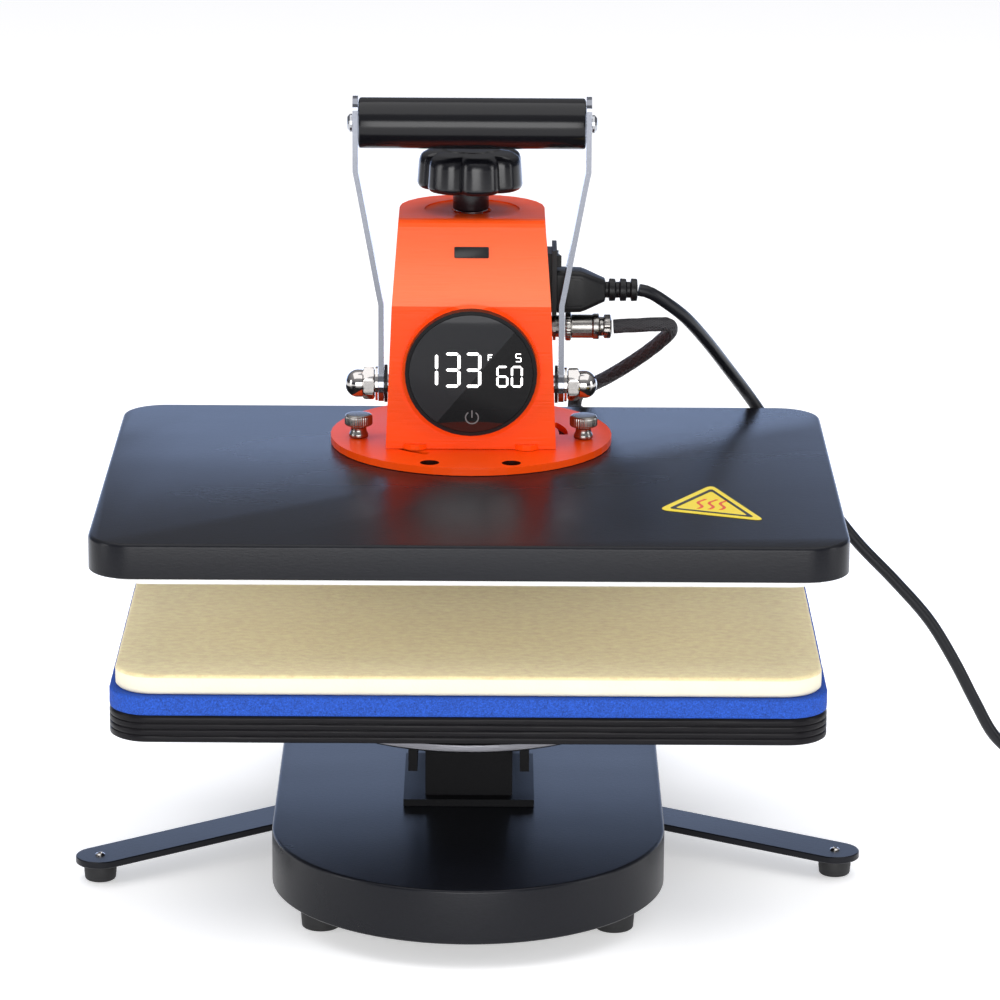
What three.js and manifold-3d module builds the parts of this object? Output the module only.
// Swing-away heat press: a base with a pedestal and a rear column, a swing arm, and a press head that
// slides down on the arm as the handle is pulled. Millimetres, +Z up, origin on the floor.
import * as THREE from 'three';
import Module from 'manifold-3d';
import { mergeVertices } from 'three/addons/utils/BufferGeometryUtils.js';

// Fits
const GAP = 0.3; // between faces that touch
const RUNNING = 0.4; // radial clearance of what turns or slides
const SEGMENTS = 28; // facets of a large round

// Base
const BASE_HALF_WIDTH = 107;
const BASE_LENGTH = 400;
const BASE_REAR_CORNER = 30;
const BASE_WALL = 2.5;
const BASE_HEIGHT = 30;
const FOOT_HEIGHT = 14;
const FOOT_RADIUS = 11;
const FOOT_INSET = 28;
const LEG_THICKNESS = 4;
const LEG_WIDTH = 27;
const LEG_LENGTH = 174; // from its screw to its foot
const LEG_SPREAD = 204; // from the middle plane to the leg's foot
const LEG_FOOT_Y = { left: -59, right: -44 };
const LEG_ANGLE = { left: 36.9, right: 31.5 }; // degrees back from the X axis, as each was swung
const LEG_FOOT_RADIUS = 9;

// Pedestal and lower platen
const PLATEN_Y = -25; // centre of both platens
const POST_WIDTH = 48;
const POST_DEPTH = 66;
const POST_Y = -22;
const MOUNT_RIM_RADIUS = 90;
const MOUNT_RIM_HEIGHT = 5;
const MOUNT_HUB_RADIUS = 62;
const MOUNT_UNDERSIDE = 92;
const BOARD_WIDTH = 380;
const BOARD_DEPTH = 298;
const BOARD_THICKNESS = 14.5;
const BOARD_UNDERSIDE = 116.5;
const FOAM_THICKNESS = 10.4;
const FELT_THICKNESS = 10.8;
const FELT_INSET = 3;
const PLATEN_CORNER = 22;

// Upper platen
const COVER_WIDTH = 400;
const COVER_DEPTH = 300;
const COVER_HEIGHT = 19;
const COVER_SHEET = 1.5;
const COVER_CORNER = 24;
const COVER_TOP = 225;
const PLATE_WIDTH = 380;
const PLATE_DEPTH = 280;
const PLATE_THICKNESS = 14;
const PLATE_DROP = 6; // below the cover's lower edge
const FLANGE_RADIUS = 79;
const FLANGE_THICKNESS = 4;

// Press head
const HEAD_Y = 45; // pressure spindle and flange axis
const HEAD_FRONT = 8;
const HEAD_REAR = 83;
const HEAD_SHEET = 2.5;
const HEAD_HALF_BOTTOM = 47.3;
const HEAD_HALF_FOLD = 44;
const HEAD_HALF_TOP = 40.4;
const HEAD_FOLD = 81; // above the flange
const HEAD_HEIGHT = 128.5;
const HEAD_LEAN = 4; // how far the upper front leans back
const HEAD_REAR_CORNER = 34;
const DISPLAY_RADIUS = 36.5;
const DISPLAY_ABOVE_FLANGE = 46;
const DISPLAY_TILT = 6;
const BEZEL_THICKNESS = 5;
const BEZEL_RIM = 2;
const GLASS_THICKNESS = 2.2;

// Handle and its lift lever
const PIVOT_Y = 20;
const PIVOT_ABOVE_FLANGE = 34.7;
const AXLE_RADIUS = 5;
const BAR_THICKNESS = 3;
const BAR_WIDTH = 14;
const BAR_EYE_RADIUS = 10;
const GRIP_RADIUS = 14;
const GRIP_LENGTH = 124.5;
const GRIP_ABOVE_PIVOT = 147;
const LEVER_LENGTH = 43;
const LEVER_REST_ANGLE = -5;
const LEVER_BOSS = 8.3;
const ROLLER_RADIUS = 6;

// Swing arm and column
const COLUMN_Y = 162;
const COLUMN_RADIUS = 28;
const SHAFT_RADIUS = 15;
const SLEEVE_RADIUS = 26;
const SLEEVE_BELOW = 28;
const SLEEVE_ABOVE = 20;
const BUSH_WALL = 3;
const BUSH_LENGTH = 18;
const ARM_WIDTH = 44;
const ARM_HEIGHT = 25;
const ARM_OVER_ROLLER = 7.2;
const STROKE = 46;

// Pressure knob and spindle
const SPINDLE_RADIUS = 6;
const KNOB_RADIUS = 30.4;
const KNOB_LOBES = 7;
const KNOB_STEM_RADIUS = 10;
const KNOB_STEM_LENGTH = 12;
const KNOB_HEIGHT = 23;
const KNOB_RECESS_RADIUS = 26.5; // the shallow recess in the head's top
const SPRING_RADIUS = 11;
const SPRING_WIRE = 1.4;

// Mains inlet, plugs and leads
const INLET_BELOW_TOP = 44.8; // from the head's top down to the plug's axis
const INLET_WIDTH = 28;
const INLET_HEIGHT = 37;
const INLET_BELOW = 13; // from the plug's axis down to the plate's edge
const PLUG_THICKNESS = 17;
const PLUG_HEIGHT = 24;
const SENSOR_BELOW_INLET = 22;
const CORD_RADIUS = 3.5;
const LEAD_RADIUS = 4;
const COIL_RADIUS = 38;
const COIL_BAND = 21;
const COIL_HEIGHT = 15;
const COIL_X = 392;
const COIL_Y = 105;

// Heights that follow from the ones above
const BASE_BOTTOM = FOOT_HEIGHT;
const BASE_TOP = BASE_BOTTOM + BASE_HEIGHT;
const BOARD_TOP = BOARD_UNDERSIDE + BOARD_THICKNESS;
const FOAM_BOTTOM = BOARD_TOP + GAP;
const FELT_BOTTOM = FOAM_BOTTOM + FOAM_THICKNESS + GAP;
const COVER_BOTTOM = COVER_TOP - COVER_HEIGHT;
const PLATE_BOTTOM = COVER_BOTTOM - PLATE_DROP;
const PLATE_TOP = PLATE_BOTTOM + PLATE_THICKNESS;
const FLANGE_TOP = COVER_TOP + GAP + FLANGE_THICKNESS;
const HEAD_BOTTOM = FLANGE_TOP + GAP;
const HEAD_TOP = HEAD_BOTTOM + HEAD_HEIGHT;
const FOLD_Z = HEAD_BOTTOM + HEAD_FOLD;
const DISPLAY_Z = FLANGE_TOP + DISPLAY_ABOVE_FLANGE;
const PIVOT_Z = FLANGE_TOP + PIVOT_ABOVE_FLANGE;
const GRIP_Z = PIVOT_Z + GRIP_ABOVE_PIVOT;
const INLET_Z = HEAD_TOP - INLET_BELOW_TOP;
const SENSOR_Z = INLET_Z - SENSOR_BELOW_INLET;
const DEGREE = Math.PI / 180;
const ROLLER_REST_Z = PIVOT_Z + LEVER_LENGTH * Math.sin(LEVER_REST_ANGLE * DEGREE);
const ARM_BOTTOM = ROLLER_REST_Z + ROLLER_RADIUS + ARM_OVER_ROLLER;
const ARM_TOP = ARM_BOTTOM + ARM_HEIGHT;
const SLEEVE_BOTTOM = ARM_BOTTOM - SLEEVE_BELOW;
const SLEEVE_TOP = ARM_TOP + SLEEVE_ABOVE;

const wasm = await Module();
wasm.setup();

const press = new THREE.Group();

const PAINT_BLACK = [0x23252b, 0.5, 0.3];
const PAINT_ORANGE = [0xff4a12, 0.42, 0.2];
const STEEL = [0xb9bcc0, 0.3, 0.9];
const CHROME = [0xd9dadd, 0.12, 1];
const ALUMINIUM = [0xc9ccd0, 0.4, 0.8];
const RUBBER = [0x141416, 0.85, 0];
const PLASTIC = [0x17181b, 0.45, 0];
const BRASS = [0xb98a3c, 0.35, 0.9];

function place(name, geometry, [colour, roughness, metalness]) {
  const material = new THREE.MeshStandardMaterial({ color: colour, roughness, metalness });
  const mesh = new THREE.Mesh(geometry, material);
  mesh.name = name;
  press.add(mesh);
  return mesh;
}

// Solids
function solid(geometry) {
  const bare = (geometry.index ? geometry.toNonIndexed() : geometry).clone();
  bare.deleteAttribute('normal');
  bare.deleteAttribute('uv');
  const merged = mergeVertices(bare, 1e-4);
  const mesh = new wasm.Mesh({
    numProp: 3,
    vertProperties: new Float32Array(merged.attributes.position.array),
    triVerts: new Uint32Array(merged.index.array),
  });
  return new wasm.Manifold(mesh);
}

function toGeometry(manifold) {
  const mesh = manifold.getMesh();
  const geometry = new THREE.BufferGeometry();
  geometry.setAttribute('position', new THREE.BufferAttribute(new Float32Array(mesh.vertProperties), 3));
  geometry.setIndex(new THREE.BufferAttribute(new Uint32Array(mesh.triVerts), 1));
  geometry.computeVertexNormals();
  return geometry;
}

function combine(first, { add = [], cut = [], meet = [] }) {
  let result = solid(first);
  for (const geometry of add) result = result.add(solid(geometry));
  for (const geometry of meet) result = result.intersect(solid(geometry));
  for (const geometry of cut) result = result.subtract(solid(geometry));
  return toGeometry(result);
}

function box(x0, x1, y0, y1, z0, z1) {
  const geometry = new THREE.BoxGeometry(x1 - x0, y1 - y0, z1 - z0);
  return geometry.translate((x0 + x1) / 2, (y0 + y1) / 2, (z0 + z1) / 2);
}

// A round bar along an axis, from one coordinate to another, centred on the other two.
function rod(axis, radius, from, to, a, b, sides = 24) {
  const geometry = new THREE.CylinderGeometry(radius, radius, to - from, sides);
  const middle = (from + to) / 2;
  if (axis === 'x') return geometry.rotateZ(-Math.PI / 2).translate(middle, a, b);
  if (axis === 'y') return geometry.translate(a, middle, b);
  return geometry.rotateX(Math.PI / 2).translate(a, b, middle);
}

// A turned piece about a vertical axis through (x, y); its profile is [radius, z] pairs.
function turned(profile, x, y, sides = SEGMENTS) {
  const points = profile.map(([r, z]) => new THREE.Vector2(r, z));
  return new THREE.LatheGeometry(points, sides).rotateX(Math.PI / 2).translate(x, y, 0);
}

// A turned piece about an axis along X through (y, z); its profile is [radius, x] pairs.
function turnedX(profile, y, z, sides = 24) {
  const points = profile.map(([r, x]) => new THREE.Vector2(r, x));
  return new THREE.LatheGeometry(points, sides).rotateZ(-Math.PI / 2).translate(0, y, z);
}

function roundedShape(width, depth, radius) {
  const x = width / 2;
  const y = depth / 2;
  const shape = new THREE.Shape();
  shape.moveTo(-x + radius, -y);
  shape.absarc(x - radius, -y + radius, radius, -Math.PI / 2, 0);
  shape.absarc(x - radius, y - radius, radius, 0, Math.PI / 2);
  shape.absarc(-x + radius, y - radius, radius, Math.PI / 2, Math.PI);
  shape.absarc(-x + radius, -y + radius, radius, Math.PI, Math.PI * 1.5);
  return shape;
}

// An upright prism of a plan outline.
function prism(shape, z0, z1, curveSegments = 6) {
  return new THREE.ExtrudeGeometry(shape, { depth: z1 - z0, bevelEnabled: false, curveSegments })
    .translate(0, 0, z0);
}

function slab(width, depth, radius, y, z0, z1) {
  return prism(roundedShape(width, depth, radius), z0, z1).translate(0, y, 0);
}

// A prism of an outline drawn in (y, z), from x0 to x1.
function sidePrism(points, x0, x1) {
  const shape = new THREE.Shape(points.map(([y, z]) => new THREE.Vector2(y, z)));
  const geometry = new THREE.ExtrudeGeometry(shape, { depth: x1 - x0, bevelEnabled: false });
  const toWorld = new THREE.Matrix4().set(0, 0, 1, x0, 1, 0, 0, 0, 0, 1, 0, 0, 0, 0, 0, 1);
  return geometry.applyMatrix4(toWorld);
}

function tube(points, radius, sides, steps) {
  const path = new THREE.CatmullRomCurve3(points.map((p) => new THREE.Vector3(...p)), false, 'centripetal');
  const section = new THREE.Shape();
  section.absarc(0, 0, radius, 0, Math.PI * 2);
  const options = { extrudePath: path, steps, curveSegments: sides / 2, bevelEnabled: false };
  return new THREE.ExtrudeGeometry(section, options);
}

// Base
function baseOutline(inset) {
  const half = BASE_HALF_WIDTH - inset;
  const front = -BASE_LENGTH / 2 + BASE_HALF_WIDTH;
  const rear = BASE_LENGTH / 2 - inset;
  const corner = BASE_REAR_CORNER - inset;
  const shape = new THREE.Shape();
  shape.absarc(0, front, half, Math.PI, Math.PI * 2);
  shape.absarc(half - corner, rear - corner, corner, 0, Math.PI / 2);
  shape.absarc(-half + corner, rear - corner, corner, Math.PI / 2, Math.PI);
  return shape;
}

function basePan() {
  const outer = prism(baseOutline(0), BASE_BOTTOM, BASE_TOP, 14);
  const inner = prism(baseOutline(BASE_WALL), BASE_BOTTOM - 1, BASE_TOP - BASE_WALL, 14);
  place('base_pan', combine(outer, { cut: [inner] }), PAINT_BLACK);
}

function baseBottomPlate() {
  const plate = prism(baseOutline(BASE_WALL + GAP), BASE_BOTTOM + GAP, BASE_BOTTOM + GAP + 2, 12);
  place('base_bottom_plate', plate, PAINT_BLACK);
}

function baseFeet() {
  const x = BASE_HALF_WIDTH - FOOT_INSET;
  const ends = { front: -BASE_LENGTH / 2 + BASE_HALF_WIDTH * 0.62, rear: BASE_LENGTH / 2 - FOOT_INSET };
  for (const [end, y] of Object.entries(ends)) {
    for (const [side, sign] of [['left', -1], ['right', 1]]) {
      const profile = [[0, 0], [FOOT_RADIUS - 2, 0], [FOOT_RADIUS, FOOT_HEIGHT], [0, FOOT_HEIGHT]];
      place(`base_foot_${end}_${side}`, turned(profile, sign * x, y, 20), RUBBER);
    }
  }
}

function stabiliserLegs() {
  const top = BASE_BOTTOM - GAP;
  const bottom = top - LEG_THICKNESS;
  const round = LEG_WIDTH / 2;
  for (const [side, sign] of [['left', -1], ['right', 1]]) {
    const strip = roundedShape(LEG_LENGTH + LEG_WIDTH, LEG_WIDTH, round - 0.1);
    const angle = sign > 0 ? 180 - LEG_ANGLE[side] : LEG_ANGLE[side];
    const leg = prism(strip, bottom, top, 8)
      .translate(LEG_LENGTH / 2, 0, 0)
      .rotateZ(angle * DEGREE)
      .translate(sign * LEG_SPREAD, LEG_FOOT_Y[side], 0);
    place(`stabiliser_leg_${side}`, leg, PAINT_BLACK);
    const footTop = bottom - GAP;
    const r = LEG_FOOT_RADIUS;
    const foot = [[0, 0], [r - 1.5, 0], [r, 2], [r, footTop], [0, footTop]];
    place(`stabiliser_foot_${side}`, turned(foot, sign * LEG_SPREAD, LEG_FOOT_Y[side], 24), RUBBER);
  }
}

// Pedestal and lower platen
function pedestal() {
  const z0 = BASE_TOP + GAP;
  const z1 = MOUNT_UNDERSIDE - GAP;
  const half = POST_WIDTH / 2;
  const y0 = POST_Y - POST_DEPTH / 2;
  const y1 = POST_Y + POST_DEPTH / 2;
  const foot = box(-half - 12, half + 12, y0 - 8, y1 + 8, z0, z0 + 4);
  const saddle = box(-half - 9, half + 9, y0 - 26, y1, z1 - 5, z1);
  const ears = [-half - 9, half + 4].map((x) => box(x, x + 5, y0 - 26, y1, z1 - 21, z1));
  const post = combine(box(-half, half, y0, y1, z0, z1), { add: [foot, saddle, ...ears] });
  place('pedestal_post', post, PAINT_BLACK);
}

function platenMount() {
  const z0 = MOUNT_UNDERSIDE;
  const z1 = BOARD_UNDERSIDE - GAP;
  const rim = z0 + MOUNT_RIM_HEIGHT;
  const profile = [
    [0, z0],
    [MOUNT_RIM_RADIUS - 1, z0],
    [MOUNT_RIM_RADIUS, z0 + 1],
    [MOUNT_RIM_RADIUS, rim],
    [MOUNT_HUB_RADIUS, rim],
    [MOUNT_HUB_RADIUS - 3, z1],
    [0, z1],
  ];
  place('lower_platen_mount', turned(profile, 0, PLATEN_Y, 40), ALUMINIUM);
}

function lowerPlaten() {
  const board = slab(BOARD_WIDTH, BOARD_DEPTH, PLATEN_CORNER, PLATEN_Y, BOARD_UNDERSIDE, BOARD_TOP);
  place('lower_board', board, [0x1b1b1f, 0.6, 0]);
  const foamTop = FOAM_BOTTOM + FOAM_THICKNESS;
  const foam = slab(BOARD_WIDTH, BOARD_DEPTH, PLATEN_CORNER, PLATEN_Y, FOAM_BOTTOM, foamTop);
  place('silicone_foam_pad', foam, [0x2450c8, 0.9, 0]);
  const width = BOARD_WIDTH - 2 * FELT_INSET;
  const depth = BOARD_DEPTH - 2 * FELT_INSET;
  const felt = slab(width, depth, PLATEN_CORNER, PLATEN_Y, FELT_BOTTOM, FELT_BOTTOM + FELT_THICKNESS);
  place('felt_pad', felt, [0xe6d9a4, 0.95, 0]);
}

// Column and swing arm
function column() {
  const z0 = BASE_TOP + GAP;
  const shoulder = SLEEVE_BOTTOM - GAP;
  const profile = [
    [0, z0],
    [COLUMN_RADIUS + 9.5, z0],
    [COLUMN_RADIUS + 9.5, z0 + 6],
    [COLUMN_RADIUS, z0 + 6],
    [COLUMN_RADIUS, shoulder],
    [SHAFT_RADIUS, shoulder],
    [SHAFT_RADIUS, SLEEVE_TOP],
    [0, SLEEVE_TOP],
  ];
  place('column', turned(profile, 0, COLUMN_Y), PAINT_BLACK);
  const cap = SLEEVE_TOP + GAP;
  const r = SLEEVE_RADIUS - 3;
  const capProfile = [[0, cap], [r, cap], [r, cap + 2], [r - 3, cap + 5], [0, cap + 5]];
  place('column_cap', turned(capProfile, 0, COLUMN_Y), PLASTIC);
  const bushOuter = SHAFT_RADIUS + RUNNING + BUSH_WALL;
  const starts = { lower: SLEEVE_BOTTOM, upper: SLEEVE_TOP - BUSH_LENGTH };
  for (const [end, z] of Object.entries(starts)) {
    const inner = SHAFT_RADIUS + RUNNING;
    const ringTop = z + BUSH_LENGTH;
    const ring = [[inner, z], [bushOuter, z], [bushOuter, ringTop], [inner, ringTop], [inner, z]];
    place(`column_bush_${end}`, turned(ring, 0, COLUMN_Y), BRASS);
  }
}

function swingArm() {
  const sleeve = rod('z', SLEEVE_RADIUS, SLEEVE_BOTTOM, SLEEVE_TOP, 0, COLUMN_Y, SEGMENTS);
  const bushOuter = SHAFT_RADIUS + RUNNING + BUSH_WALL + GAP;
  const bore = rod('z', bushOuter, SLEEVE_BOTTOM - 1, SLEEVE_TOP + 1, 0, COLUMN_Y, SEGMENTS);
  const half = ARM_WIDTH / 2;
  const bar = box(-half, half, PIVOT_Y, COLUMN_Y, ARM_BOTTOM, ARM_TOP);
  const hole = rod('z', SPINDLE_RADIUS + 1.5, ARM_BOTTOM - 1, ARM_TOP + 1, 0, HEAD_Y);
  const pocket = rod('z', SPRING_RADIUS + 2.5, ARM_BOTTOM + 5, ARM_TOP + 1, 0, HEAD_Y);
  place('swing_arm', combine(sleeve, { add: [bar], cut: [bore, hole, pocket] }), PAINT_BLACK);
}

// Upper platen
function upperPlaten() {
  const outer = slab(COVER_WIDTH, COVER_DEPTH, COVER_CORNER, PLATEN_Y, COVER_BOTTOM, COVER_TOP);
  const width = COVER_WIDTH - 2 * COVER_SHEET;
  const depth = COVER_DEPTH - 2 * COVER_SHEET;
  const corner = COVER_CORNER - COVER_SHEET;
  const inner = slab(width, depth, corner, PLATEN_Y, COVER_BOTTOM - 1, COVER_TOP - COVER_SHEET);
  const rear = PLATEN_Y + COVER_DEPTH / 2;
  const leadHole = rod('y', LEAD_RADIUS + 3, rear - 4, rear + 2, LEAD_END_X, LEAD_END_Z);
  place('upper_cover', combine(outer, { cut: [inner, leadHole] }), PAINT_BLACK);
  const plate = slab(PLATE_WIDTH, PLATE_DEPTH, PLATEN_CORNER, PLATEN_Y, PLATE_BOTTOM, PLATE_TOP);
  place('heat_plate', plate, [0xf2f2f2, 0.35, 0.3]);
  const blanketTop = COVER_TOP - COVER_SHEET - GAP;
  const blanketBottom = PLATE_TOP + GAP;
  const blanketSize = [PLATE_WIDTH - 24, PLATE_DEPTH - 24];
  const blanket = slab(...blanketSize, PLATEN_CORNER, PLATEN_Y, blanketBottom, blanketTop);
  const cutoutY = PLATEN_Y - 60;
  const cutout = box(-16, 16, cutoutY - 11, cutoutY + 11, PLATE_TOP - 1, blanketTop + 1);
  place('insulation_blanket', combine(blanket, { cut: [cutout] }), [0xd8d4c8, 0.95, 0]);
  const sensor = box(-14, 14, cutoutY - 9, cutoutY + 9, PLATE_TOP + GAP, blanketTop - 1);
  place('thermal_cutout', sensor, PLASTIC);
}

function arcSlot(radius, width, from, to, z0, z1) {
  const shape = new THREE.Shape();
  shape.absarc(0, 0, radius + width / 2, from, to);
  shape.absarc(0, 0, radius - width / 2, to, from, true);
  return prism(shape, z0, z1, 6).translate(0, HEAD_Y, 0);
}

function flange() {
  const z0 = COVER_TOP + GAP;
  const disc = rod('z', FLANGE_RADIUS, z0, FLANGE_TOP, 0, HEAD_Y, 48);
  const cuts = [];
  for (const sign of [-1, 1]) {
    cuts.push(rod('z', 5.2, z0 - 1, FLANGE_TOP + 1, sign * 22.5, HEAD_Y - 66, 20));
    cuts.push(rod('z', THUMB_SHANK + RUNNING, z0 - 1, FLANGE_TOP + 1, sign * THUMB_X, THUMB_Y, 16));
    const middle = sign > 0 ? -18 : 198;
    const from = (middle + 15) * DEGREE;
    const to = (middle + 45) * DEGREE;
    cuts.push(arcSlot(52, 5, from, to, z0 - 1, FLANGE_TOP + 1));
  }
  place('platen_flange', combine(disc, { cut: cuts }), PAINT_ORANGE);
}

const THUMB_X = 63;
const THUMB_Y = 34;
const THUMB_SHANK = 3;

function thumbScrews() {
  for (const [side, sign] of [['left', -1], ['right', 1]]) {
    const z = FLANGE_TOP + GAP;
    const profile = [
      [0, COVER_TOP + GAP],
      [THUMB_SHANK, COVER_TOP + GAP],
      [THUMB_SHANK, z],
      [5.4, z],
      [5.4, z + 2],
      [4.4, z + 4],
      [4.4, z + 6],
      [7.6, z + 7.5],
      [7.9, z + 8],
      [7.9, z + 12.5],
      [7, z + 13.3],
      [0, z + 13.3],
    ];
    place(`thumb_screw_${side}`, turned(profile, sign * THUMB_X, THUMB_Y, 18), CHROME);
  }
}

// Press head housing: horizontal sections with a flat front and a rounded rear, joined from bottom to top.
function headRing(half, front, rear, corner, z) {
  const points = [];
  points.push([-half, front], [half, front]);
  const steps = 6;
  for (let i = 0; i <= steps; i += 1) {
    const angle = (i / steps) * (Math.PI / 2);
    points.push([half - corner + corner * Math.cos(angle), rear - corner + corner * Math.sin(angle)]);
  }
  for (let i = 0; i <= steps; i += 1) {
    const angle = Math.PI / 2 + (i / steps) * (Math.PI / 2);
    points.push([-half + corner + corner * Math.cos(angle), rear - corner + corner * Math.sin(angle)]);
  }
  return points.map(([x, y]) => [x, y, z]);
}

function loft(rings) {
  const count = rings[0].length;
  const positions = rings.flat(2);
  const index = [];
  for (let r = 0; r < rings.length - 1; r += 1) {
    for (let i = 0; i < count; i += 1) {
      const a = r * count + i;
      const b = r * count + ((i + 1) % count);
      index.push(a, b, b + count, a, b + count, a + count);
    }
  }
  const last = (rings.length - 1) * count;
  for (let i = 1; i < count - 1; i += 1) {
    index.push(0, i + 1, i);
    index.push(last, last + i, last + i + 1);
  }
  const geometry = new THREE.BufferGeometry();
  geometry.setAttribute('position', new THREE.BufferAttribute(new Float32Array(positions), 3));
  geometry.setIndex(index);
  return geometry;
}

function headHalfWidth(z) {
  const below = (z - HEAD_BOTTOM) / HEAD_FOLD;
  const above = (z - FOLD_Z) / (HEAD_HEIGHT - HEAD_FOLD);
  if (z < FOLD_Z) return HEAD_HALF_BOTTOM + (HEAD_HALF_FOLD - HEAD_HALF_BOTTOM) * below;
  return HEAD_HALF_FOLD + (HEAD_HALF_TOP - HEAD_HALF_FOLD) * above;
}

function headForm(inset, bottom) {
  const bend = 6;
  const rings = [];
  const corner = HEAD_REAR_CORNER - inset;
  const half = (z) => headHalfWidth(z) - inset;
  rings.push(headRing(half(HEAD_BOTTOM), HEAD_FRONT + inset, HEAD_REAR - inset, corner, bottom));
  rings.push(headRing(half(FOLD_Z), HEAD_FRONT + inset, HEAD_REAR - inset, corner, FOLD_Z));
  const top = HEAD_TOP - inset;
  for (let i = 0; i <= 4; i += 1) {
    const angle = (i / 4) * (Math.PI / 2);
    const z = top - bend + bend * Math.sin(angle);
    const back = HEAD_FRONT + inset + HEAD_LEAN + bend * (1 - Math.cos(angle));
    rings.push(headRing(half(z), back, HEAD_REAR - inset, corner, z));
  }
  return loft(rings);
}

// The display looks a little upwards, so its collar is a wedge.
function tilted(geometry) {
  return geometry.rotateX(DISPLAY_TILT * DEGREE).translate(0, displayBackY(), DISPLAY_Z);
}

function displayBackY() {
  return HEAD_FRONT - GAP - DISPLAY_RADIUS * Math.sin(DISPLAY_TILT * DEGREE);
}

function headHousing() {
  const collar = tilted(rod('y', DISPLAY_RADIUS + 1.8, 0, 12, 0, -2.4, 44));
  const collarLimit = box(-60, 60, -30, HEAD_FRONT + 1, HEAD_BOTTOM, HEAD_TOP);
  const collarSolid = combine(collar, { meet: [collarLimit] });
  const tabs = [-31, 31].map((x) => rod('z', 7.5, HEAD_BOTTOM, HEAD_BOTTOM + 3, x, HEAD_FRONT + 3.5, 20));
  const slotHalf = ARM_WIDTH / 2 + 1.5;
  const slot = box(-slotHalf, slotHalf, HEAD_Y + 15, HEAD_REAR + 5, ARM_BOTTOM - 1.5, ARM_TOP + STROKE + 1.5);
  const axleHole = rod('x', AXLE_RADIUS + RUNNING, -60, 60, PIVOT_Y, PIVOT_Z, 20);
  const windowHole = tilted(rod('y', DISPLAY_RADIUS - 9, -1, 20, 0, 0, 28));
  const spindleHole = rod('z', KNOB_STEM_RADIUS + 1.2, HEAD_TOP - 6, HEAD_TOP + 3, 0, HEAD_Y, 24);
  const recess = rod('z', KNOB_RECESS_RADIUS, HEAD_TOP - 0.8, HEAD_TOP + 3, 0, HEAD_Y, 32);
  const inletHole = box(30, 60, HEAD_Y - 10.5, HEAD_Y + 10.5, INLET_Z - 12.6, INLET_Z + 22);
  const sensorHole = rod('x', 6.5, 30, 60, HEAD_Y, SENSOR_Z, 20);
  const holes = [axleHole, windowHole, spindleHole, inletHole, sensorHole];
  const cut = [headForm(HEAD_SHEET, HEAD_BOTTOM - 1), slot, recess, ...holes];
  const shell = combine(headForm(0, HEAD_BOTTOM), { add: [collarSolid, ...tabs], cut });
  place('head_housing', shell, PAINT_ORANGE);
}

function display() {
  const bezel = tilted(rod('y', DISPLAY_RADIUS, -GAP - BEZEL_THICKNESS, -GAP, 0, 0, 44));
  const pocketRadius = DISPLAY_RADIUS - BEZEL_RIM;
  const front = -GAP - BEZEL_THICKNESS;
  const pocket = tilted(rod('y', pocketRadius, front - 1, front + GLASS_THICKNESS, 0, 0, 44));
  const through = tilted(rod('y', DISPLAY_RADIUS - 10, front - 1, 1, 0, 0, 24));
  place('display_bezel', combine(bezel, { cut: [pocket, through] }), PLASTIC);
  const glass = tilted(rod('y', pocketRadius - GAP, front, front + GLASS_THICKNESS - GAP, 0, 0, 44));
  place('display_glass', glass, [0x050507, 0.06, 0]);
  const behindGlass = front + GLASS_THICKNESS;
  const module = tilted(rod('y', DISPLAY_RADIUS - 11, behindGlass + GAP, behindGlass + 3, 0, 0, 32));
  place('display_module', module, [0x1f5a34, 0.6, 0]);
}

function controlBoard() {
  const wall = -headHalfWidth(HEAD_TOP) + HEAD_SHEET;
  const z0 = FOLD_Z - 6;
  const y = HEAD_FRONT + 10;
  const board = box(wall + 2, wall + 3.6, y, y + 34, z0, HEAD_TOP - 12);
  const transformer = box(wall + 3, wall + 13, y + 3, y + 18, z0 + 5, z0 + 22);
  const relay = box(wall + 3, wall + 11, y + 21, y + 31, z0 + 5, z0 + 18);
  place('control_board', combine(board, { add: [transformer, relay] }), [0x1f5a34, 0.6, 0]);
}

// Pressure knob: a lobed knob on a stem, on the spindle that runs down through the arm.
function knobShape() {
  const shape = new THREE.Shape();
  const steps = KNOB_LOBES * 8;
  for (let i = 0; i < steps; i += 1) {
    const angle = (i / steps) * Math.PI * 2;
    const wave = Math.abs(Math.sin((angle * KNOB_LOBES) / 2));
    const radius = KNOB_RADIUS - 4 * (1 - wave) ** 1.6;
    const point = [radius * Math.cos(angle), radius * Math.sin(angle)];
    if (i === 0) shape.moveTo(...point);
    else shape.lineTo(...point);
  }
  return shape;
}

function pressureKnob() {
  const z0 = HEAD_TOP + KNOB_STEM_LENGTH;
  const z1 = z0 + KNOB_HEIGHT;
  const lobes = prism(knobShape(), z0, z1).translate(0, HEAD_Y, 0);
  const r = KNOB_RADIUS;
  const under = [[0, z0 - 1], [r - 3, z0 - 1], [r + 1, z0 + 4]];
  const over = [[r + 1, z1 - 6], [r - 3, z1 - 2.5], [r - 12, z1 - 0.5], [0, z1]];
  const stem = rod('z', KNOB_STEM_RADIUS, HEAD_TOP - 0.4, z0 + 2, 0, HEAD_Y, 28);
  const bore = rod('z', SPINDLE_RADIUS + GAP, HEAD_TOP - 2, z0 + 12, 0, HEAD_Y);
  const head = combine(lobes, { meet: [turned([...under, ...over], 0, HEAD_Y, 32)] });
  place('pressure_knob', combine(head, { add: [stem], cut: [bore] }), PLASTIC);
  const spindle = rod('z', SPINDLE_RADIUS, ARM_BOTTOM + 4, z0 + 11, 0, HEAD_Y);
  place('pressure_spindle', spindle, STEEL);
}

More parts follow.
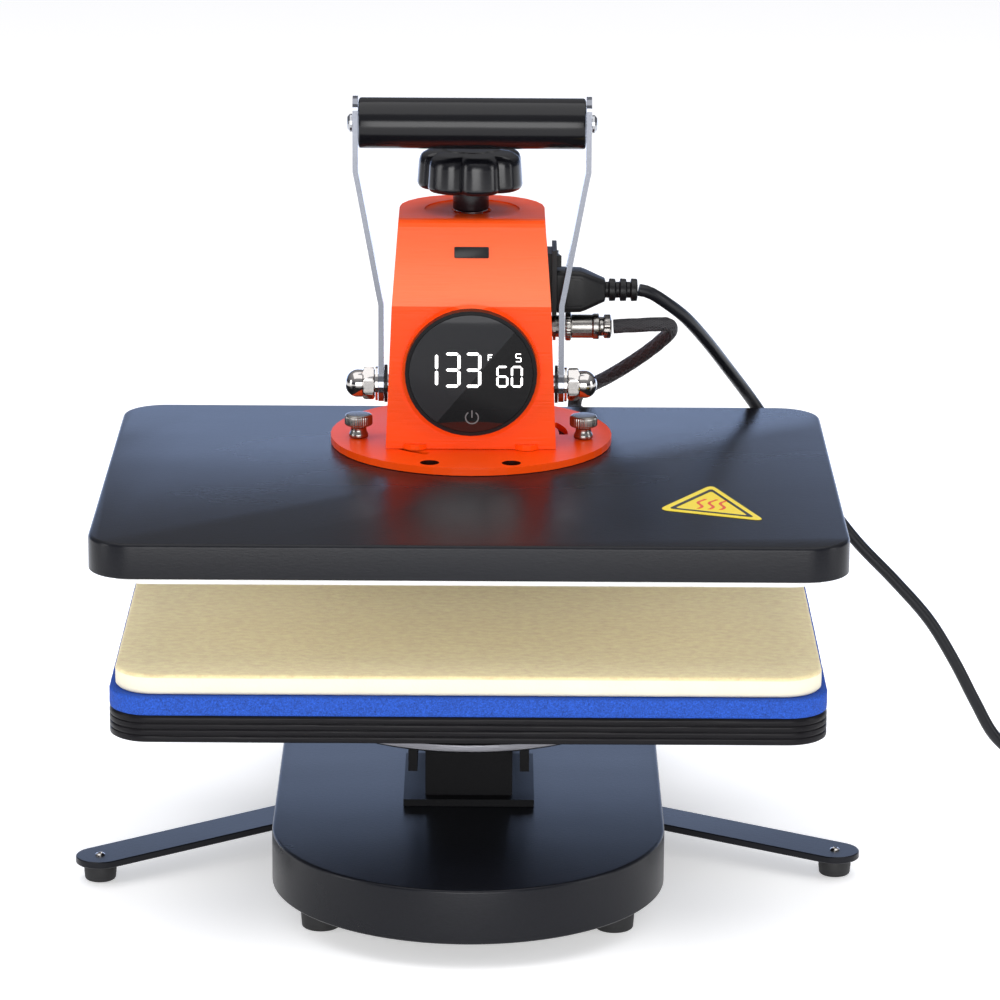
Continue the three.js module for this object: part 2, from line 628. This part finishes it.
function returnSpring() {
  const z0 = ARM_BOTTOM + 5 + SPRING_WIRE + GAP;
  const z1 = HEAD_TOP - HEAD_SHEET - 4 - SPRING_WIRE;
  const turns = 6;
  class Helix extends THREE.Curve {
    getPoint(t, target = new THREE.Vector3()) {
      const angle = t * turns * Math.PI * 2;
      return target.set(SPRING_RADIUS * Math.cos(angle), SPRING_RADIUS * Math.sin(angle), z0 + (z1 - z0) * t);
    }
  }
  const section = new THREE.Shape();
  section.absarc(0, 0, SPRING_WIRE, 0, Math.PI * 2);
  const options = { extrudePath: new Helix(), steps: turns * 10, curveSegments: 3, bevelEnabled: false };
  const spring = new THREE.ExtrudeGeometry(section, options).translate(0, HEAD_Y, 0);
  place('return_spring', spring, STEEL);
}

// Handle: two bent flat bars, a grip between them, and the axle through the housing.
function barOutline() {
  const low = BAR_INNER_X + BAR_THICKNESS / 2;
  const high = GRIP_LENGTH / 2 + GAP + BAR_THICKNESS / 2;
  const half = BAR_THICKNESS / 2;
  const line = [
    [low, PIVOT_Z - BAR_EYE_RADIUS - 2],
    [low, PIVOT_Z + 46],
    [low + 1.6, PIVOT_Z + 54],
    [high - 1.6, PIVOT_Z + 113],
    [high, PIVOT_Z + 121],
    [high, GRIP_Z + GRIP_RADIUS + 2],
  ];
  return [
    ...line.map(([x, z]) => [x - half, z]),
    ...line.slice().reverse().map(([x, z]) => [x + half, z]),
  ];
}

function sideBar(sign) {
  const shape = new THREE.Shape(barOutline().map(([x, z]) => new THREE.Vector2(x, z)));
  const depth = 2 * BAR_EYE_RADIUS;
  const strip = new THREE.ExtrudeGeometry(shape, { depth, bevelEnabled: false })
    .rotateX(Math.PI / 2)
    .translate(0, PIVOT_Y + BAR_EYE_RADIUS, 0);
  const reach = 90;
  const eye = rod('x', BAR_EYE_RADIUS, 0, reach, PIVOT_Y, PIVOT_Z, 20);
  const half = BAR_WIDTH / 2;
  const straight = box(0, reach, PIVOT_Y - half, PIVOT_Y + half, PIVOT_Z, GRIP_Z + GRIP_RADIUS - half + 1);
  const end = rod('x', half, 0, reach, PIVOT_Y, GRIP_Z + GRIP_RADIUS - half + 1, 24);
  const plan = combine(eye, { add: [straight, end] });
  const hole = rod('x', AXLE_RADIUS + GAP, 0, reach, PIVOT_Y, PIVOT_Z, 20);
  const screwHole = rod('x', 2.5 + GAP, 0, reach, PIVOT_Y, GRIP_Z, 14);
  const bar = combine(strip, { meet: [plan], cut: [hole, screwHole] });
  if (sign > 0) return bar;
  const mirrored = bar.toNonIndexed().scale(-1, 1, 1);
  const p = mirrored.attributes.position;
  for (let i = 0; i < p.count; i += 3) {
    const [x, y, z] = [p.getX(i), p.getY(i), p.getZ(i)];
    p.setXYZ(i, p.getX(i + 2), p.getY(i + 2), p.getZ(i + 2));
    p.setXYZ(i + 2, x, y, z);
  }
  mirrored.computeVertexNormals();
  return mirrored;
}

const WASHER_X = headHalfWidth(PIVOT_Z) + GAP + 0.35;
const WASHER_THICKNESS = 1.6;
const BAR_INNER_X = WASHER_X + WASHER_THICKNESS + GAP;
const NUT_X = BAR_INNER_X + BAR_THICKNESS + GAP + 1.4 + GAP;

function acornNut(sign) {
  const hexRadius = 9.3;
  const hexLength = 6.8;
  const hex = new THREE.CylinderGeometry(hexRadius, hexRadius, hexLength, 6)
    .rotateZ(-Math.PI / 2)
    .rotateX(Math.PI / 6)
    .translate(NUT_X + hexLength / 2, PIVOT_Y, PIVOT_Z);
  const x = NUT_X + hexLength;
  const dome = turnedX(
    [[0, x - 1], [7.7, x - 1], [7.7, x + 3], [7.1, x + 5.4], [5.6, x + 7.6], [3.2, x + 9.2], [0, x + 9.8]],
    PIVOT_Y,
    PIVOT_Z,
    18,
  );
  const chamfer = turnedX(
    [
      [0, NUT_X - 1], [8.2, NUT_X - 1], [9.4, NUT_X + 1], [9.4, x - 1.2],
      [8.0, x + 0.2], [8.0, x + 12], [0, x + 12],
    ],
    PIVOT_Y,
    PIVOT_Z,
    24,
  );
  const bore = rod('x', AXLE_RADIUS + GAP, NUT_X - 1, x + 3, PIVOT_Y, PIVOT_Z, 20);
  const nut = combine(hex, { add: [dome], meet: [chamfer], cut: [bore] });
  return sign > 0 ? nut : nut.rotateZ(Math.PI).translate(0, 2 * PIVOT_Y, 0);
}

function handle() {
  const axleEnd = NUT_X + 6.8 + 2;
  place('handle_axle', rod('x', AXLE_RADIUS, -axleEnd, axleEnd, PIVOT_Y, PIVOT_Z, 20), STEEL);
  const ring = (sign, start, thickness, radius) => {
    const from = sign > 0 ? start : -start - thickness;
    const inner = AXLE_RADIUS + GAP;
    const to = from + thickness;
    const profile = [[inner, from], [radius, from], [radius, to], [inner, to], [inner, from]];
    return turnedX(profile, PIVOT_Y, PIVOT_Z, 20);
  };
  for (const [side, sign] of [['left', -1], ['right', 1]]) {
    place(`handle_bar_${side}`, sideBar(sign), CHROME);
    place(`plastic_washer_${side}`, ring(sign, WASHER_X, WASHER_THICKNESS, 10.5), PLASTIC);
    place(`steel_washer_${side}`, ring(sign, BAR_INNER_X + BAR_THICKNESS + GAP, 1.4, 9.6), CHROME);
    place(`acorn_nut_${side}`, acornNut(sign), CHROME);
    const x = GRIP_LENGTH / 2 + GAP + BAR_THICKNESS + GAP;
    const head = turnedX([[0, -18], [2.5, -18], [2.5, 0], [5, 0], [5, 1.2], [3.4, 2.6], [0, 3]], 0, 0, 16);
    const turn = sign > 0 ? head : head.rotateZ(Math.PI);
    place(`grip_screw_${side}`, turn.translate(sign * x, PIVOT_Y, GRIP_Z), STEEL);
  }
  const half = GRIP_LENGTH / 2;
  const grip = rod('x', GRIP_RADIUS, -half, half, PIVOT_Y, GRIP_Z, 28);
  const screwHole = (x0, x1) => rod('x', 2.5 + GAP, x0, x1, PIVOT_Y, GRIP_Z, 16);
  const ends = [screwHole(-70, -40), screwHole(40, 70)];
  place('handle_grip', combine(grip, { cut: ends }), [0x101114, 0.35, 0]);
}

// Lift levers: on the axle inside the housing, their noses work under the arm.
function liftLevers() {
  const endY = PIVOT_Y + LEVER_LENGTH * Math.cos(LEVER_REST_ANGLE * DEGREE);
  for (const [side, sign] of [['left', -1], ['right', 1]]) {
    const x0 = Math.min(sign * 9.6, sign * 14.6);
    const x1 = Math.max(sign * 9.6, sign * 14.6);
    const boss = rod('x', LEVER_BOSS, x0, x1, PIVOT_Y, PIVOT_Z);
    const nose = rod('x', ROLLER_RADIUS, x0, sign > 0 ? 20.4 : x1, endY, ROLLER_REST_Z, 20);
    const outerNose = rod('x', ROLLER_RADIUS, sign > 0 ? x0 : -20.4, x1, endY, ROLLER_REST_Z, 20);
    const web = sidePrism(
      [
        [PIVOT_Y, PIVOT_Z - 6], [endY, ROLLER_REST_Z - 4.6],
        [endY, ROLLER_REST_Z + 4.6], [PIVOT_Y, PIVOT_Z + 6],
      ],
      x0,
      x1,
    );
    const bore = rod('x', AXLE_RADIUS + GAP, x0 - 1, x1 + 1, PIVOT_Y, PIVOT_Z, 20);
    const tip = sign > 0 ? nose : outerNose;
    place(`lift_lever_${side}`, combine(boss, { add: [tip, web], cut: [bore] }), STEEL);
  }
}

// Mains inlet with rocker switch, its plug, and the sensor connector
const INLET_X = headHalfWidth(INLET_Z - INLET_BELOW) + GAP;

function inlet() {
  const z0 = INLET_Z - INLET_BELOW;
  const z1 = z0 + INLET_HEIGHT;
  const half = INLET_WIDTH / 2;
  const plate = box(INLET_X, INLET_X + 2.6, HEAD_Y - half, HEAD_Y + half, z0, z1);
  const body = box(INLET_X - 18, INLET_X + 1, HEAD_Y - 9.5, HEAD_Y + 9.5, z0 + 1, z1 - 2.5);
  const cavity = box(INLET_X - 12, INLET_X + 5, HEAD_Y - 6.5, HEAD_Y + 6.5, INLET_Z - 10, INLET_Z + 10);
  const rockerHole = box(INLET_X - 5, INLET_X + 5, HEAD_Y - 8, HEAD_Y + 8, INLET_Z + 12.5, INLET_Z + 20.5);
  place('mains_inlet', combine(plate, { add: [body], cut: [cavity, rockerHole] }), PLASTIC);
  const x = INLET_X + 2.2;
  const rocker = [
    [HEAD_Y - 7.3, x - 2],
    [HEAD_Y - 7.3, x + 3],
    [HEAD_Y, x + 1],
    [HEAD_Y + 7.3, x + 1.6],
    [HEAD_Y + 7.3, x - 2],
    [HEAD_Y, x - 5],
  ];
  const shape = new THREE.Shape(rocker.map(([y, rx]) => new THREE.Vector2(rx, y)));
  place('rocker_switch', prism(shape, INLET_Z + 13.2, INLET_Z + 19.8), PLASTIC);
}

function plugOutline(x) {
  const half = PLUG_HEIGHT / 2;
  return [
    [x, -half],
    [x + 14, -half + 0.5],
    [x + 24, -7.5],
    [x + 27, -6],
    [x + 27, 6],
    [x + 24, 7.5],
    [x + 14, half - 0.5],
    [x, half],
  ];
}

function inletPlug() {
  const x = INLET_X + 2.6 + GAP;
  const shape = new THREE.Shape(plugOutline(x).map(([px, pz]) => new THREE.Vector2(px, pz)));
  const body = new THREE.ExtrudeGeometry(shape, { depth: PLUG_THICKNESS, bevelEnabled: false })
    .rotateX(Math.PI / 2)
    .translate(0, HEAD_Y + PLUG_THICKNESS / 2, INLET_Z - 1);
  const nose = box(x - 10, x + 1, HEAD_Y - 6, HEAD_Y + 6, INLET_Z - 9.4, INLET_Z + 7.4);
  const boot = [[0, x + 26]];
  const ribs = 3;
  const start = x + 26;
  for (let i = 0; i < ribs; i += 1) {
    const at = start + i * 6.2;
    boot.push([4.6, at], [4.6, at + 2.4], [6.4, at + 2.4], [6.2, at + 6.2]);
  }
  boot.push([4.4, start + 18.6], [0, start + 18.6]);
  const relief = turnedX(boot, HEAD_Y, INLET_Z - 1, 20);
  place('cord_connector', combine(body, { add: [nose, relief] }), PLASTIC);
}

function sensorConnector() {
  const x = headHalfWidth(SENSOR_Z - 8) + GAP;
  const socket = turnedX(
    [[0, x - 10], [6, x - 10], [6, x], [8, x], [8, x + 1.6], [6.2, x + 1.6], [6.2, x + 6.6], [0, x + 6.6]],
    HEAD_Y,
    SENSOR_Z,
    18,
  );
  place('sensor_socket', socket, CHROME);
  const p = x + 6.6 + GAP;
  const plug = turnedX(
    [
      [0, p], [8.2, p], [8.2, p + 3.2], [6.6, p + 3.6], [6.6, p + 15.5],
      [7.2, p + 16], [7.2, p + 19], [5.4, p + 19.4], [5.4, p + 21.5],
      [6.8, p + 22], [6.8, p + 25.4], [5, p + 26], [0, p + 26],
    ],
    HEAD_Y,
    SENSOR_Z,
    18,
  );
  place('sensor_plug', plug, CHROME);
}

const LEAD_END_X = 60;
const LEAD_END_Z = COVER_BOTTOM + 10;
const LEAD_ROUTE = [
  [79.4, 45, 291.3],
  [90, 45.4, 291.8],
  [101, 47, 292],
  [110, 53, 290.6],
  [112, 62, 285],
  [108, 74, 277],
  [100, 90, 266],
  [89, 108, 253.5],
  [78, 126, 242],
  [69, 143, 233],
  [63, 156, 226.5],
  [60.4, 161, 219.5],
  [60, 156, 215],
  [60, 147, 216],
  [60, 138, 216],
];

function heaterLead() {
  place('heater_lead', tube(LEAD_ROUTE, LEAD_RADIUS, 8, 26), [0x1b1a1d, 0.8, 0]);
  const rear = PLATEN_Y + COVER_DEPTH / 2;
  const r = LEAD_RADIUS;
  const gland = [
    [0, rear - 3], [r + 2.4, rear - 3], [r + 2.4, rear + GAP], [r + 5, rear + GAP],
    [r + 5, rear + 4], [r + 2, rear + 12.6], [0, rear + 12.6],
  ];
  const points = gland.map(([r, y]) => new THREE.Vector2(r, y));
  const shape = new THREE.LatheGeometry(points, 20).translate(LEAD_END_X, 0, LEAD_END_Z);
  place('lead_gland', shape, RUBBER);
}

// Mains cord: from the connector down behind the platen to the floor, then a coil and its plug.
const CORD_ROUTE = [
  [93.4, 45, 312.3],
  [99, 45.5, 311],
  [108, 50, 304.5],
  [119, 61, 294],
  [132, 82, 276],
  [147, 109, 252],
  [164, 133, 225],
  [184, 141, 194],
  [205, 142, 167],
  [226, 142, 140],
  [249, 142, 116],
  [270, 142, 92],
  [286, 142, 66],
  [299, 143, 41],
  [311, 144, 20],
  [325, 146, 8],
  [342, 148, 3.8],
  [364, 150, 3.6],
];

function mainsCord() {
  place('mains_cord', tube(CORD_ROUTE, CORD_RADIUS, 8, 34), RUBBER);
  const inner = COIL_RADIUS - COIL_BAND / 2;
  const outer = COIL_RADIUS + COIL_BAND / 2;
  const ring = [[inner, 0.1], [outer, 0.1], [outer, COIL_HEIGHT], [inner, COIL_HEIGHT], [inner, 0.1]];
  place('mains_cord_coil', turned(ring, COIL_X, COIL_Y, 24), RUBBER);
  const x = COIL_X + outer - CORD_RADIUS;
  const y = COIL_Y - 28;
  const boot = rod('y', 4.6, y - 22, y, x, 8, 14);
  const body = box(x - 12, x + 12, y - 58, y - 21, 0.2, 16);
  const pins = [-1, 1].map((s) => box(x + s * 6.3 - 0.8, x + s * 6.3 + 0.8, y - 75, y - 57, 5, 11.5));
  place('mains_plug', combine(body, { add: [boot, ...pins] }), PLASTIC);
}

basePan();
baseBottomPlate();
baseFeet();
stabiliserLegs();
pedestal();
platenMount();
lowerPlaten();
column();
swingArm();
upperPlaten();
flange();
thumbScrews();
headHousing();
display();
controlBoard();
pressureKnob();
returnSpring();
handle();
liftLevers();
inlet();
inletPlug();
sensorConnector();
heaterLead();
mainsCord();

export default press;
